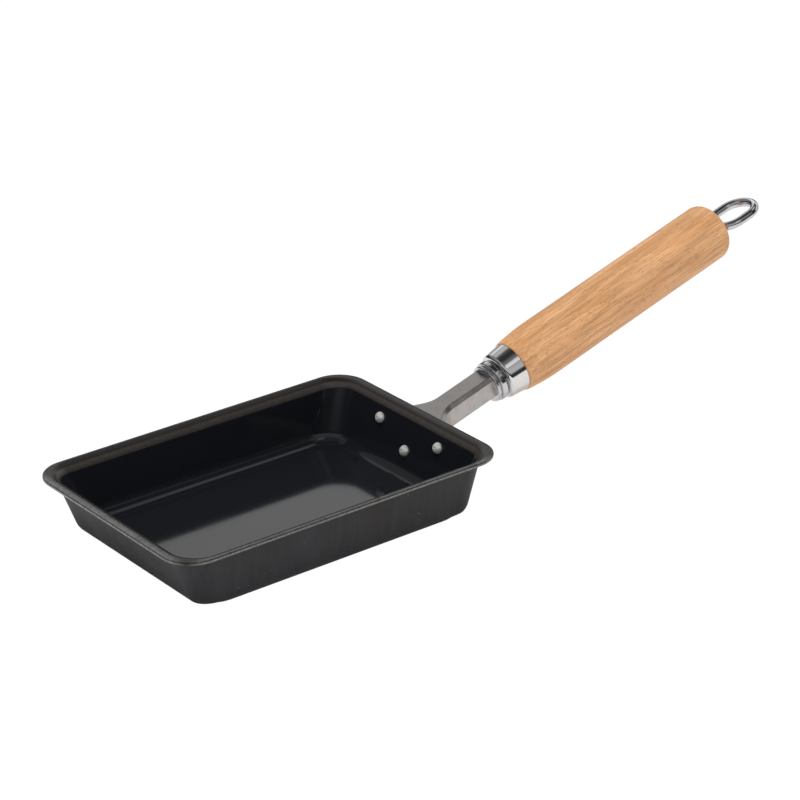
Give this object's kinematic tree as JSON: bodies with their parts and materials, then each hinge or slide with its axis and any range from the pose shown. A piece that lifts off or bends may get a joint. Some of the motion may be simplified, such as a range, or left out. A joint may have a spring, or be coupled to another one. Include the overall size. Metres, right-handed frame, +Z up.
{
  "type": "tamagoyaki pan",
  "caption": "Rectangular rolled-omelette pan: black coated tray with a flat rim, riveted steel neck, beaded collar, turned wooden grip and a closed hanging eye on a screwed tie rod.",
  "frame": {"origin": "middle of the tray's flat underside, below the middle of the rim, on the plane that the pan rests on", "axes": "+X from the tray towards the handle, +Y to the left of someone who looks from the tray along the handle, +Z up"},
  "size_m": [0.382, 0.12, 0.087],
  "materials": {
    "coated_sheet": "satin black cooking coat",
    "rivet_metal": "polished",
    "neck_steel": "satin",
    "plug_steel": "machined",
    "polished_plate": "polished",
    "beech": "sanded, light oil",
    "eye_wire": "polished"
  },
  "bodies": {
    "pan": {"pan_body": "coated_sheet", "rivet_left": "rivet_metal", "rivet_right": "rivet_metal", "rivet_lower": "rivet_metal", "handle_bracket": "neck_steel", "neck_plug": "plug_steel", "neck_collar": "polished_plate", "ferrule": "polished_plate", "wood_handle": "beech"},
    "washer": {"end_washer": "plug_steel"},
    "tie_rod": {"hanging_eye": "eye_wire"}
  },
  "joints": [
    {"name": "tie_rod_backoff", "type": "slide", "parent": "pan", "child": "washer", "axis": [0.9578, 0, 0.2874], "range_m": [0, 0.0096]},
    {"name": "tie_rod_turn", "type": "hinge", "parent": "washer", "child": "tie_rod", "pos_m": [0.26614, 0, 0.07414], "axis": [0.9578, 0, 0.2874], "range_deg": [0, 4320]}
  ],
  "couplings": [
    {"joint": "tie_rod_turn", "follows": "tie_rod_backoff", "rad_per_m": 7854}
  ]
}
